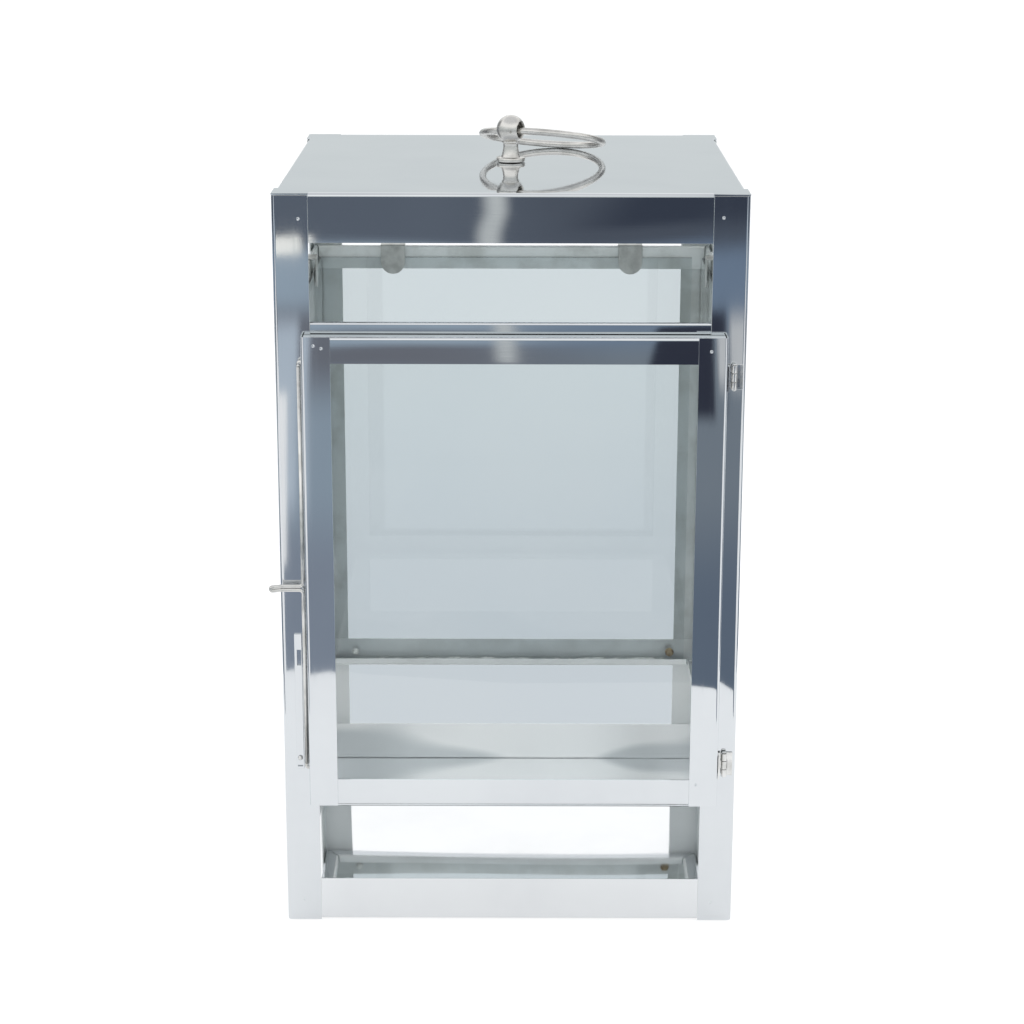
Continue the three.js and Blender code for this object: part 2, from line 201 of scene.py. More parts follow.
# the unpolished inner faces: two colours, and how they differ from the polished ones
DULL_POST = ((0.75, 0.785, 0.77, 1), (0.56, 0.58, 0.55, 1))
DULL_RAIL = ((0.92, 0.95, 0.93, 1), (0.70, 0.72, 0.69, 1))
DULL_ROUGHNESS = 0.3
DULL_METAL = -0.45
LOW_HEIGHTS = (0.10, 0.05)                    # between these heights the inner faces turn pale
LOW_COLOUR = (0.90, 0.92, 0.91, 1)
LOW_METAL = -0.4

# the brushed inner faces of the tray, with swirls of painted sheen in their colour
SATIN_WHITENING = 0.3
SATIN_WHITE = (1.0, 1.0, 1.0, 1)
SATIN_ROUGHNESS = 0.26
SATIN_WAVE_HEIGHT = 0.006
# painted sheen: soft swirls of lighter colour that stand in for the satin wall's highlights
SHEEN_SWIRL_NOISE = ((10.0, 10.0, 26.0), 0.0)
SHEEN_SWIRL_RANGE = (0.46, 0.56)
PAINTED_SHEEN_COLOURS = ((0.66, 0.69, 0.70, 1), (1.0, 1.0, 0.99, 1))
STRIKER_LEAN = -0.045


def dull_faces(nodes, place, inside, dull, colour, roughness):
    """Stains and roughens the inside faces, and makes them paler and less metallic near the foot."""
    blotches = nodes.noise(place, *BLOTCH_NOISE)
    stains = nodes.mix(nodes.remap(blotches, *BLOTCH_RANGE), *dull)
    colour = nodes.mix(inside, colour, stains)
    roughness = nodes.math("ADD", roughness, nodes.math("MULTIPLY", inside, DULL_ROUGHNESS))
    height = nodes.split(place)[2]
    low = nodes.math("MULTIPLY", inside, nodes.remap(height, *LOW_HEIGHTS))
    colour = nodes.mix(low, colour, LOW_COLOUR)
    metal = nodes.math("MULTIPLY_ADD", inside, DULL_METAL, 1.0)
    metal = nodes.math("MULTIPLY_ADD", low, LOW_METAL, metal)
    return colour, roughness, metal


def satin_faces_with_painted_sheen(nodes, place, inside, colour, roughness):
    """Whitens the sheet a little, and gives its inside faces a brushed look with soft swirls of painted
    sheen.
    """
    colour = nodes.mix(SATIN_WHITENING, colour, SATIN_WHITE)
    # painted sheen: the swirls lighten the colour where the satin wall would show highlights
    sheen_swirl = nodes.noise(place, *SHEEN_SWIRL_NOISE)
    painted_sheen = nodes.mix(nodes.remap(sheen_swirl, *SHEEN_SWIRL_RANGE), *PAINTED_SHEEN_COLOURS)
    colour = nodes.mix(inside, colour, painted_sheen)
    roughness = nodes.math("ADD", roughness, nodes.math("MULTIPLY", inside, SATIN_ROUGHNESS))
    return colour, roughness


def polished_steel(name, grain, dull=None, lean=0.0, satin_inside_with_painted_sheen=False):
    """Mirror-polished sheet: fine polishing lines along the grain, a slow waviness, faint smears.

    With two dull colours, the faces that look at the lantern's middle are unpolished and stained.
    With the satin flag set, they are brushed instead, with swirls of painted sheen. lean tips the reflections
    up or down.
    """
    material, nodes = new_material(name)
    coords = nodes.add("ShaderNodeTexCoord")
    place = coords.outputs["Object"]
    lines = nodes.noise(place, GRAINS[grain], *GRAIN_NOISE)
    smear = nodes.noise(place, *SMEAR_NOISE)
    waves = nodes.noise(place, *WAVE_NOISE)

    roughness = nodes.remap(lines, *GRAIN_RANGE, *GRAIN_ROUGHNESS, smooth=False)
    roughness = nodes.math("ADD", roughness, nodes.remap(smear, *SMEAR_RANGE, *SMEAR_ROUGHNESS))
    colour = nodes.mix(nodes.remap(smear, *SHADE_RANGE), STEEL, STEEL_SHADE)

    outward = nodes.vector("MULTIPLY", place, LEVEL)
    facing = nodes.vector("DOT_PRODUCT", coords.outputs["Normal"], outward, out=1)
    inside = nodes.remap(facing, *INSIDE_RANGE, smooth=False)
    metal = 1.0
    wave_height = WAVE_HEIGHT
    if dull:
        colour, roughness, metal = dull_faces(nodes, place, inside, dull, colour, roughness)
    # the tray: brushed inside, with swirls of painted sheen
    if satin_inside_with_painted_sheen:
        colour, roughness = satin_faces_with_painted_sheen(nodes, place, inside, colour, roughness)
        wave_height = nodes.math("MULTIPLY_ADD", inside, SATIN_WAVE_HEIGHT, WAVE_HEIGHT)

    normal = nodes.add("ShaderNodeNewGeometry").outputs["Normal"]
    normal = nodes.vector("NORMALIZE", nodes.vector("ADD", normal, (0.0, 0.0, lean)))
    slow = nodes.bump(waves, wave_height, Normal=normal)
    fine = nodes.bump(lines, GRAIN_HEIGHT, Normal=slow)
    finish_surface(nodes, Base_Color=colour, Metallic=metal, Roughness=roughness, Normal=fine)
    return material


# ---- turned or drawn steel ----
MARKS_ACROSS = 60.0
MARK_NOISE = (3.0, 0.65)
MARK_RANGE = (0.3, 0.75)
PIT_NOISE = (900.0, 3.0, 0.6)
PIT_SHARE = 0.4
TONE_NOISE = (120.0, 3.0, 0.55)
TONE_RANGE = (0.4, 0.72)
TONE_DARKER = (0.78, 0.78, 0.77)
MARK_HEIGHT = 0.000012
MARK_STRENGTH = 0.6


def turned_steel(name, colour, roughness_range, ring_scale):
    """Turned or drawn steel: fine marks round or along the piece, with a soft, slightly warm shine."""
    material, nodes = new_material(name)
    place = nodes.place()
    marks = nodes.noise(place, (MARKS_ACROSS, MARKS_ACROSS, ring_scale), *MARK_NOISE)
    pits = nodes.noise(place, *PIT_NOISE)
    tone = nodes.noise(place, *TONE_NOISE)
    darker = (*[part * share for part, share in zip(colour, TONE_DARKER)], 1)
    shade = nodes.mix(nodes.remap(tone, *TONE_RANGE), colour, darker)
    roughness = nodes.remap(marks, *MARK_RANGE, *roughness_range)
    height = nodes.math("ADD", marks, nodes.math("MULTIPLY", pits, PIT_SHARE))
    bump = nodes.bump(height, MARK_HEIGHT, Strength=MARK_STRENGTH)
    finish_surface(nodes, Base_Color=shade, Metallic=1.0, Roughness=roughness, Normal=bump)
    return material


# ---- unpolished steel of the clips and tabs ----
CLOUD_NOISE = (150.0, 5.0, 0.6)
CLOUD_SHADE_RANGE = (0.35, 0.7)
CLOUD_COLOURS = ((0.60, 0.61, 0.585, 1), (0.47, 0.48, 0.46, 1))
CLOUD_RANGE = (0.3, 0.8)
CLOUD_ROUGHNESS = (0.38, 0.55)
GRIT_NOISE = (2600.0, 2.0, 0.6)
GRIT_HEIGHT = 0.00001
GRIT_STRENGTH = 0.5


def dull_steel(name):
    """Cloudy, gritty steel with a weak shine."""
    material, nodes = new_material(name)
    place = nodes.place()
    cloud = nodes.noise(place, *CLOUD_NOISE)
    grit = nodes.noise(place, *GRIT_NOISE)
    shade = nodes.mix(nodes.remap(cloud, *CLOUD_SHADE_RANGE), *CLOUD_COLOURS)
    roughness = nodes.remap(cloud, *CLOUD_RANGE, *CLOUD_ROUGHNESS)
    bump = nodes.bump(grit, GRIT_HEIGHT, Strength=GRIT_STRENGTH)
    finish_surface(nodes, Base_Color=shade, Metallic=1.0, Roughness=roughness, Normal=bump)
    return material


# ---- old glue ----
GLUE_CLOUD_NOISE = (260.0, 4.0, 0.6)
GLUE_SHADE_RANGE = (0.35, 0.65)
GLUE_RANGE = (0.3, 0.7)
GLUE_ROUGHNESS = (0.22, 0.5)
GLUE_LUMP_NOISE = (900.0, 3.0, 0.6)
GLUE_LUMP_HEIGHT = 0.0002
GLUE_LUMP_STRENGTH = 0.7


def set_glue(name, dark, light):
    """Old glue: uneven and half glossy, in two shades."""
    material, nodes = new_material(name)
    place = nodes.place()
    cloud = nodes.noise(place, *GLUE_CLOUD_NOISE)
    lumps = nodes.noise(place, *GLUE_LUMP_NOISE)
    shade = nodes.mix(nodes.remap(cloud, *GLUE_SHADE_RANGE), dark, light)
    bump = nodes.bump(lumps, GLUE_LUMP_HEIGHT, Strength=GLUE_LUMP_STRENGTH)
    roughness = nodes.remap(cloud, *GLUE_RANGE, *GLUE_ROUGHNESS)
    finish_surface(nodes, Base_Color=shade, Roughness=roughness, Normal=bump)
    return material


# ---- glass ----
GLASS_CLOUD_NOISE = (9.0, 3.0, 0.5)
GLASS_CLOUD_RANGE = (0.35, 0.7)
GLASS_WAVE_NOISE = ((6.0, 6.0, 3.0), 1.0)
GLASS_WAVE_HEIGHT = 0.0002
GLASS_BENDING = 1.5                           # refractive index
GLASS_TINT = (0.92, 0.94, 0.943, 1)
PANE_DEEP = (0.90, 0.925, 0.933, 1)
DOOR_DEEP = (0.905, 0.93, 0.938, 1)


def clear_glass(name, tint, deep):
    """Float glass with a faint tint, a little uneven, and lamps shining through it."""
    material, nodes = new_material(name)
    place = nodes.place()
    cloud = nodes.noise(place, *GLASS_CLOUD_NOISE)
    colour = nodes.mix(nodes.remap(cloud, *GLASS_CLOUD_RANGE), tint, deep)
    wave = nodes.noise(place, *GLASS_WAVE_NOISE)
    look = {"Base Color": colour, "Roughness": 0.0, "IOR": GLASS_BENDING, "Transmission Weight": 1.0}
    look["Normal"] = nodes.bump(wave, GLASS_WAVE_HEIGHT)
    glass = nodes.add("ShaderNodeBsdfPrincipled", look)
    through = nodes.add("ShaderNodeBsdfTransparent", {"Color": colour})
    lamp = nodes.add("ShaderNodeLightPath").outputs["Is Shadow Ray"]
    shader = nodes.add("ShaderNodeMixShader", {0: lamp, 1: glass.outputs[0], 2: through.outputs[0]})
    finish_material(nodes, shader.outputs[0])
    return material


MATERIALS = {
    "post": polished_steel("steel_upright", "z", dull=DULL_POST),
    "rail_x": polished_steel("steel_rail_along_x", "x", dull=DULL_RAIL),
    "rail_y": polished_steel("steel_rail_along_y", "y", dull=DULL_RAIL),
    "roof": polished_steel("steel_roof", "x"),
    "tray": polished_steel("steel_tray", "x", satin_inside_with_painted_sheen=True),
    "door_upright": polished_steel("steel_door_upright", "z"),
    "door_rail": polished_steel("steel_door_rail", "x"),
    "striker": polished_steel("steel_striker", "z", lean=STRIKER_LEAN),
    "turned": turned_steel("steel_turned", (0.70, 0.69, 0.665, 1), (0.22, 0.36), 900.0),
    "wire": turned_steel("steel_wire", (0.74, 0.735, 0.715, 1), (0.14, 0.24), 500.0),
    "hinge": turned_steel("steel_hinge", (0.80, 0.80, 0.79, 1), (0.08, 0.18), 300.0),
    "dull": dull_steel("steel_dull"),
    "glue": set_glue("glue_clear", (0.70, 0.74, 0.70, 1), (0.93, 0.95, 0.92, 1)),
    "stain": set_glue("glue_stained", (0.16, 0.10, 0.04, 1), (0.42, 0.33, 0.16, 1)),
    "glass": clear_glass("glass_pane", GLASS_TINT, PANE_DEEP),
    "door_glass": clear_glass("glass_door", GLASS_TINT, DOOR_DEEP),
}


def material_for(node):
    """The look of a CAD node, from its name."""
    if node == "door_glass":
        return "door_glass"
    if node.startswith(("pane_clip", "door_tab", "finial_washer", "finial_nut")):
        return "dull"
    if node.startswith("pane_"):
        return "glass"
    if node.startswith("post_"):
        return "post"
    if node.startswith(("crossbar_", "glass_rail_")):
        return "rail_x" if node.endswith(("front", "rear")) else "rail_y"
    if node.startswith("door_stile"):
        return "door_upright"
    if node.startswith("door_rail"):
        return "door_rail"
    if node.startswith(("hinge_", "striker_rivet")):
        return "hinge"
    return {"roof_pan": "roof", "floor_tray": "tray", "striker_plate": "striker"}.get(node, "wire")


# ---- CAD nodes: materials and rounded edges ----
WELD_DISTANCE = 0.00001
SHEET_BEVEL = 0.18 * MM
GLASS_BEVEL = 0.35 * MM
BEVEL_STEPS = 2
BEVEL_ANGLE = 40           # edges sharper than this many degrees are rounded
FLAT_WEIGHT = 100


def soften(thing, width):
    """Rounds the sharp edges by a modifier and keeps flat faces flat."""
    for polygon in thing.data.polygons:
        polygon.use_smooth = True
    weld = thing.modifiers.new("weld", "WELD")
    weld.merge_threshold = WELD_DISTANCE
    bevel = thing.modifiers.new("edges", "BEVEL")
    bevel.width = width
    bevel.segments = BEVEL_STEPS
    bevel.limit_method = "ANGLE"
    bevel.angle_limit = math.radians(BEVEL_ANGLE)
    bevel.harden_normals = False
    flatten = thing.modifiers.new("flatten", "WEIGHTED_NORMAL")
    flatten.weight = FLAT_WEIGHT
    flatten.keep_sharp = True


def dress_cad_nodes():
    """Gives every CAD node its material and rounds its edges, the glass a little more."""
    for name, thing in frame["nodes"].items():
        thing.data.materials.clear()
        thing.data.materials.append(MATERIALS[material_for(name)])
        is_glass = name.startswith(("pane_left", "pane_rear", "pane_right")) or name == "door_glass"
        soften(thing, GLASS_BEVEL if is_glass else SHEET_BEVEL)


# ---- mesh helpers ----
ON_AXIS = 1e-7             # a profile point nearer the axis than this lies on it


def add_object(name, mesh, material, body):
    """A smooth-shaded piece of one material that rides on a body."""
    thing = link_object(name, mesh)
    mesh.materials.clear()
    mesh.materials.append(MATERIALS[material])
    for polygon in mesh.polygons:
        polygon.use_smooth = True
    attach(thing, body)
    return thing


def circle_turns(steps):
    return [2 * math.pi * k / steps for k in range(steps)]


def finish_mesh(name, shape):
    """Turns a bmesh into a mesh whose faces look outward."""
    bmesh.ops.recalc_face_normals(shape, faces=shape.faces)
    mesh = bpy.data.meshes.new(name)
    shape.to_mesh(mesh)
    shape.free()
    return mesh


def scaled(profile, scale=1.0):
    """Millimetre points of a profile in metres."""
    return [(radius * MM * scale, height * MM * scale) for radius, height in profile]


def lathe(name, profile, steps):
    """A closed turned mesh from (radius, height) points that start and end on the axis."""
    shape = bmesh.new()
    rings = []
    for radius, height in profile:
        if radius < ON_AXIS:
            rings.append([shape.verts.new((0, 0, height))])
            continue
        turns = circle_turns(steps)
        rings.append([shape.verts.new((radius * math.cos(a), radius * math.sin(a), height)) for a in turns])
    for low, high in zip(rings, rings[1:]):
        for k in range(steps):
            following = (k + 1) % steps
            corners = [low[k % len(low)], low[following % len(low)]]
            corners += [high[following % len(high)], high[k % len(high)]]
            unique = list(dict.fromkeys(corners))
            if len(unique) > 2:
                shape.faces.new(unique)
    return finish_mesh(name, shape)


def sweep(name, path, radius, sides=20, closed=False):
    """A round wire along points in space, with flat ends unless it is closed."""
    count = len(path)
    shape = bmesh.new()
    rings = []
    side = None
    for i, here in enumerate(path):
        before = path[i - 1] if closed or i else path[0]
        after = path[(i + 1) % count] if closed or i < count - 1 else path[-1]
        along = (after - before).normalized()
        if side is None:
            side = along.orthogonal().normalized()
        side = (side - along * side.dot(along)).normalized()
        other = along.cross(side)
        turns = circle_turns(sides)
        rings.append(
            [shape.verts.new(here + radius * (side * math.cos(a) + other * math.sin(a))) for a in turns]
        )
    pairs = list(zip(rings, rings[1:]))
    if closed:
        pairs.append((rings[-1], rings[0]))
    for low, high in pairs:
        for k in range(sides):
            j = (k + 1) % sides
            shape.faces.new((low[k], low[j], high[j], high[k]))
    if not closed:
        shape.faces.new(list(reversed(rings[0])))
        shape.faces.new(rings[-1])
    return finish_mesh(name, shape)


def wire_path(corners, radii, steps=8):
    """Corner points of a wire, with each inner corner turned into an arc of its own radius."""
    path = [corners[0]]
    for before, corner, after, radius in zip(corners, corners[1:], corners[2:], radii):
        back = (before - corner).normalized()
        ahead = (after - corner).normalized()
        half = back.angle(ahead) / 2
        centre = corner + (back + ahead).normalized() * (radius / math.sin(half))
        first = corner + back * (radius / math.tan(half)) - centre
        last = corner + ahead * (radius / math.tan(half)) - centre
        path += [centre + first.slerp(last, k / steps).normalized() * first.length for k in range(steps + 1)]
    path.append(corners[-1])
    return path


def cut(thing, name, mesh, place):
    """Cuts a mesh object by a mesh that is put in place for it, and keeps only the result."""
    cutter = link_object(name, mesh)
    cutter.matrix_world = place
    bpy.context.view_layer.update()
    modifier = thing.modifiers.new("cut", "BOOLEAN")
    modifier.object = cutter
    modifier.operation = "DIFFERENCE"
    modifier.solver = "EXACT"
    graph = bpy.context.evaluated_depsgraph_get()
    result = bpy.data.meshes.new_from_object(thing.evaluated_get(graph))
    thing.modifiers.remove(modifier)
    old = thing.data
    thing.data = result
    result.name = old.name + "_cut"
    bpy.data.objects.remove(cutter)


# ---- finial: profile points are (radius, height) in millimetres ----
BALL_RADIUS = 8.1
BALL_DROP = 1.0            # how far its top stays below the top of the CAD knob
BALL_STEPS = 30
NECK_RADIUS = 4.4
KNOB_SHIFT = -0.4          # the knob stands this far to the left of the middle
KNOB_STEPS = 72
FOOT_PROFILE = [(0, 0), (7.9, 0), (8.2, 0.3), (8.2, 2.0), (7.9, 2.3), (5.8, 2.35), (5.5, 2.5), (5.5, 3.2)]
STEM_PROFILE = [(5.2, 3.5), (5.0, 4.2), (4.7, 5.4), (4.4, 6.8), (4.25, 8.2), (4.25, 9.2), (4.4, 10.0)]
COLLAR_PROFILE = [(4.6, 10.4), (4.85, 10.55), (5.0, 10.9), (5.0, 11.3), (4.8, 11.55), (4.5, 11.7)]
BORE_OVERSHOOT = 1
BORE_MOUTH = 5.1
BORE_FLARE = [(4.9, 1.3), (4.4, 2.4), (4.1, 3.6)]      # radius, and depth below the ball's surface
BORE_TURN = 5              # degrees that the hole is turned from the line of the ring's joint
BORE_STEPS = 48
DIMPLE_RADIUS = 0.0008     # metres
DIMPLE_DROP = 0.0006       # metres below the middle of the ball
DIMPLE_STEPS = 24


def upper_arc(height, radius, start, end, steps):
    """Profile points of an arc whose centre is on the axis."""
    turns = [start + (end - start) * k / steps for k in range(steps + 1)]
    return [(radius * math.cos(a), height + radius * math.sin(a)) for a in turns]


def bore_profile():
    """A hole right through the ball, wider towards both mouths so that the ring can swing in it."""
    reach = BALL_RADIUS + BORE_OVERSHOOT
    profile = [(0, -reach), (BORE_MOUTH, -reach)]
    profile += [(radius, depth - BALL_RADIUS) for radius, depth in BORE_FLARE]
    return profile + [(radius, -height) for radius, height in reversed(profile)]


def make_finial():
    base = ROOF_TOP + GAP
    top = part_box("finial_knob")[1].z
    ball_height = (top - base) / MM - BALL_RADIUS - BALL_DROP
    neck = math.asin(NECK_RADIUS / BALL_RADIUS) - math.pi / 2
    profile = FOOT_PROFILE + STEM_PROFILE + COLLAR_PROFILE
    profile += upper_arc(ball_height, BALL_RADIUS, neck, math.pi / 2, BALL_STEPS)[:-1]
    profile += [(0, ball_height + BALL_RADIUS)]
    knob = add_object("finial", lathe("finial", scaled(profile), KNOB_STEPS), "turned", "lantern_body")
    knob.location = (KNOB_SHIFT * MM, 0, base)
    axis = Vector(JOINTS["ring_swing"]["axis"])
    turn = math.atan2(axis.y, axis.x) + math.radians(BORE_TURN)
    middle = Vector((KNOB_SHIFT * MM, 0, base + ball_height * MM))
    to_axis = Matrix.Rotation(turn, 4, "Z") @ Matrix.Rotation(math.pi / 2, 4, "Y")
    bore = lathe("bore", scaled(bore_profile()), BORE_STEPS)
    cut(knob, "bore", bore, Matrix.Translation(middle) @ to_axis)
    dimple_profile = [(0, -DIMPLE_RADIUS), (DIMPLE_RADIUS, 0), (0, DIMPLE_RADIUS)]
    dimple = lathe("dimple", dimple_profile, DIMPLE_STEPS)
    on_front = middle + Vector((0, -BALL_RADIUS * MM, -DIMPLE_DROP))
    cut(knob, "dimple", dimple, Matrix.Translation(on_front))
    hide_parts("finial_knob")


# ---- ring handle, in millimetres and degrees ----
RING_WIRE = 2.0            # half the wire's thickness
RING_RADIUS = 34.75        # to the middle of the wire
RING_DROP = 0.8            # how far the wire hangs below the line of the joint
RING_SLIDE = 1.2           # how far the loose ring has slid in its hole
RING_LOLL = -3.2           # how far it leans to one side in its hole
RING_STEPS = 160
RING_SIDES = 28


def make_ring():
    axis = Vector(JOINTS["ring_swing"]["axis"]).normalized()
    pivot = Vector(JOINTS["ring_swing"]["pos_m"]) - Vector((0, 0, RING_DROP * MM))
    wire = RING_WIRE * MM
    radius = RING_RADIUS * MM
    rest = ROOF_TOP + GAP + wire
    tilt = math.asin((pivot.z - rest) / (2 * radius))
    outward = Vector((0, 0, 1)).cross(axis).normalized()
    down = outward * math.cos(tilt) - Vector((0, 0, math.sin(tilt)))
    centre = pivot + down * radius - axis * RING_SLIDE * MM
    path = [centre + radius * (axis * math.sin(a) - down * math.cos(a)) for a in circle_turns(RING_STEPS)]
    loll = Matrix.Rotation(math.radians(RING_LOLL), 3, down)
    path = [pivot + loll @ (point - pivot) for point in path]
    ring = add_object("ring", sweep("ring", path, wire, RING_SIDES, closed=True), "turned", "ring")
    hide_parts("ring_handle")


# ---- latch, in millimetres ----
LATCH_WIRE = 1.0           # half the wire's thickness
LATCH_STRAND = 1.08        # from the lever's middle line to each of its two strands
LATCH_KNEE = 6             # from the lever's tip to where it bends forward
LATCH_FORWARD = 2
LATCH_BENDS = (2, 6, 1.04, 1.04, 6, 2)
HOOK_BEND = 1.2


def make_latch():
    x, y, lever = JOINTS["latch_turn"]["pos_m"]
    low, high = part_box("latch_wire")
    radius = LATCH_WIRE * MM
    strand = LATCH_STRAND * MM
    tip = low.x + radius
    knee = tip + LATCH_KNEE * MM
    forward = y - LATCH_FORWARD * MM
    corners = [
        (x, y, high.z), (x, y, lever + strand), (knee, y, lever + strand),
        (tip, forward, lever + strand), (tip, forward, lever - strand),
        (knee, y, lever - strand), (x, y, lever - strand), (x, y, low.z),
    ]
    bends = [bend * MM for bend in LATCH_BENDS]
    path = wire_path([Vector(corner) for corner in corners], bends)
    wire = add_object("latch_spring", sweep("latch_spring", path, radius), "wire", "latch")
    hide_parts("latch_wire")
    for level, sign in (("upper", -1), ("lower", 1)):
        node = f"latch_anchor_{level}"
        near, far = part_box(node)
        z = far.z - radius if sign < 0 else near.z + radius
        end = near.z if sign < 0 else far.z
        hook = wire_path([Vector((far.x, y, z)), Vector((x, y, z)), Vector((x, y, end))], [HOOK_BEND * MM])
        anchor = add_object(f"latch_hook_{level}", sweep(f"latch_hook_{level}", hook, radius), "wire", "door")
        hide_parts(node)


# ---- spot welds, in millimetres ----
WELD_PROFILE = [(0, 0.0), (0.3, 0.02), (0.5, 0.12), (0.68, 0.16), (0.85, 0.08), (0.95, -0.06), (0, -0.06)]
WELD_STEPS = 24
# on the door: name, stile, the ends of its box that x and z start from, and steps from there
DOOR_MARKS = [
    ("door_mark_1", "left", (0, 1), (6.9, -4.6)),
    ("door_mark_2", "left", (0, 1), (11.0, -6.0)),
    ("door_mark_3", "right", (1, 1), (-9.0, -7.2)),
    ("door_mark_4", "right", (1, 0), (-12.0, 12.8)),
]
# on each side of the frame: across from the middle, and height
POST_MARKS = [(-111.0, 397.8), (111.1, 398.8), (-115.4, 12.3), (113.2, 10.8)]


def weld_mark(name, place, normal, body):
    """A small pressed crater with a raised rim, on the face whose outward direction is normal."""
    mesh = lathe(name, scaled(WELD_PROFILE), WELD_STEPS)
    turn = Vector(normal).to_track_quat("Z", "Y").to_matrix().to_4x4()
    mesh.transform(Matrix.Translation(place) @ turn)
    mark = add_object(name, mesh, "post" if body == "lantern_body" else "door_upright", body)


def make_weld_marks():
    door_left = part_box("door_stile_left")
    door_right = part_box("door_stile_right")
    stiles = {"left": door_left, "right": door_right}
    face = door_left[0].y
    for name, stile, (x_end, z_end), (x_step, z_step) in DOOR_MARKS:
        box = stiles[stile]
        place = Vector((box[x_end].x + x_step * MM, face, box[z_end].z + z_step * MM))
        weld_mark(name, place, (0, -1, 0), "door")
    for side in range(4):
        turn = Matrix.Rotation(side * math.pi / 2, 4, "Z")
        for k, (x, z) in enumerate(POST_MARKS):
            place = turn @ Vector((x * MM, -HALF_SIDE, z * MM))
            weld_mark(f"post_mark_{side}_{k}", place, turn @ Vector((0, -1, 0)), "lantern_body")


# ---- glue along the rear glass rail, in millimetres ----
GLUE_SEED = 7
GLUE_FOOT = 0.9            # above the underside of the rail
GLUE_INSET = 24            # from each end of the rail
GLUE_STEPS = 110
GLUE_REACH = 1.3           # the bead's usual reach forward from the pane
GLUE_REACH_PULL = 0.45
GLUE_REACH_SWING = 0.5
GLUE_RISE = 3.2            # and its usual height
GLUE_RISE_PULL = 0.35
GLUE_RISE_SWING = 1.3
GLUE_SINK = 0.05           # how far the bead goes into the pane
GLUE_SHOULDER = 0.35       # share of the rise where the bead starts to lean back
GLUE_CREST = (0.45, 0.7)   # shares of reach and rise at the crest
BLOB_PROFILE = [(0, -0.1), (2.6, -0.1), (2.9, 0.3), (2.5, 1.1), (1.6, 1.8), (0.7, 2.1), (0, 2.2)]
BLOB_STEPS = 28
BLOB_HEIGHT = 7.5
BLOB_UNEVEN = 0.18
STAIN_INSET = 20
BLOB_INSET = 22
BLOB_SCALE = 0.75


def wander(value, usual, pull, swing, rough):
    """The next value of a random walk that keeps near its usual value."""
    return value + (pull * (usual - value) + swing * (rough.random() - 0.5))


def make_glue():
    """An uneven bead of glue where the rear pane meets its rail, with a blob at each end, one stained."""
    low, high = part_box("glass_rail_rear")
    pane_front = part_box("pane_rear")[0].y
    rough = random.Random(GLUE_SEED)
    foot = low.z + GLUE_FOOT * MM
    make_bead(low, high, pane_front, foot, rough)
    make_blobs(low, high, pane_front, foot, rough)


def make_bead(low, high, pane_front, foot, rough):
    start = low.x + GLUE_INSET * MM
    reach, rise = GLUE_REACH, GLUE_RISE
    shape = bmesh.new()
    rows = []
    for i in range(GLUE_STEPS + 1):
        x = start + (high.x - low.x - 2 * GLUE_INSET * MM) * i / GLUE_STEPS
        reach = wander(reach, GLUE_REACH, GLUE_REACH_PULL, GLUE_REACH_SWING, rough)
        rise = wander(rise, GLUE_RISE, GLUE_RISE_PULL, GLUE_RISE_SWING, rough)
        outline = [
            (GLUE_SINK, 0.0), (-reach, 0.0), (-reach, GLUE_SHOULDER * rise),
            (-GLUE_CREST[0] * reach, GLUE_CREST[1] * rise), (GLUE_SINK, rise),
        ]
        rows.append([shape.verts.new((x, pane_front + y * MM, foot + z * MM)) for y, z in outline])
    for near, far in zip(rows, rows[1:]):
        for k in range(len(near)):
            j = (k + 1) % len(near)
            shape.faces.new((near[k], near[j], far[j], far[k]))
    shape.faces.new(rows[0])
    shape.faces.new(list(reversed(rows[-1])))
    bead = add_object("glue_bead", finish_mesh("glue_bead", shape), "glue", "lantern_body")


def make_blobs(low, high, pane_front, foot, rough):
    toward_front = Matrix.Rotation(math.pi / 2, 4, "X")
    blobs = [
        ("stain_blob", high.x - STAIN_INSET * MM, 1.0, "stain"),
        ("glue_blob", low.x + BLOB_INSET * MM, BLOB_SCALE, "glue"),
    ]
    for name, x, scale, look in blobs:
        mesh = lathe(name, scaled(BLOB_PROFILE, scale), BLOB_STEPS)
        for vertex in mesh.vertices:
            vertex.co *= 1 + BLOB_UNEVEN * (rough.random() - 0.5)
        blob = add_object(name, mesh, look, "lantern_body")
        blob.matrix_world = Matrix.Translation((x, pane_front, foot + BLOB_HEIGHT * MM)) @ toward_front


# ---- stage: floor, what the steel reflects, and light ----
FAR = 9
FAR_CORNERS = [(-FAR, -FAR), (FAR, -FAR), (FAR, FAR), (-FAR, FAR)]
FLOOR_Z = -0.0004
FLOOR_NOISE = (60.0, 2.0)
FLOOR_SHADES = ((0.35, 0.355, 0.36, 1), (0.37, 0.375, 0.38, 1))
FLOOR_ROUGHNESS = 0.9
FLOOR_GLOW = 0.70
FLOOR_GLOW_MIRRORED = -0.16                   # added to the glow where the steel mirrors the floor
WHITE = (1, 1, 1, 1)


def plane(name, corners, z):
    """A flat piece of the stage."""
    mesh = bpy.data.meshes.new(name)
    mesh.from_pydata([(x, y, z) for x, y in corners], [], [tuple(range(len(corners)))])
    thing = link_object(name, mesh)
    return thing


def make_floor():
    floor = plane("floor", FAR_CORNERS, FLOOR_Z)
    material, nodes = new_material("floor_white")
    grain = nodes.noise(nodes.place(), *FLOOR_NOISE)
    shade = nodes.mix(grain, *FLOOR_SHADES)
    mirrored = nodes.add("ShaderNodeLightPath").outputs["Is Glossy Ray"]
    strength = nodes.math("MULTIPLY_ADD", mirrored, FLOOR_GLOW_MIRRORED, FLOOR_GLOW)
    glow = {"Emission_Color": WHITE, "Emission_Strength": strength}
    finish_surface(nodes, Base_Color=shade, Roughness=FLOOR_ROUGHNESS, **glow)
    floor.data.materials.append(material)


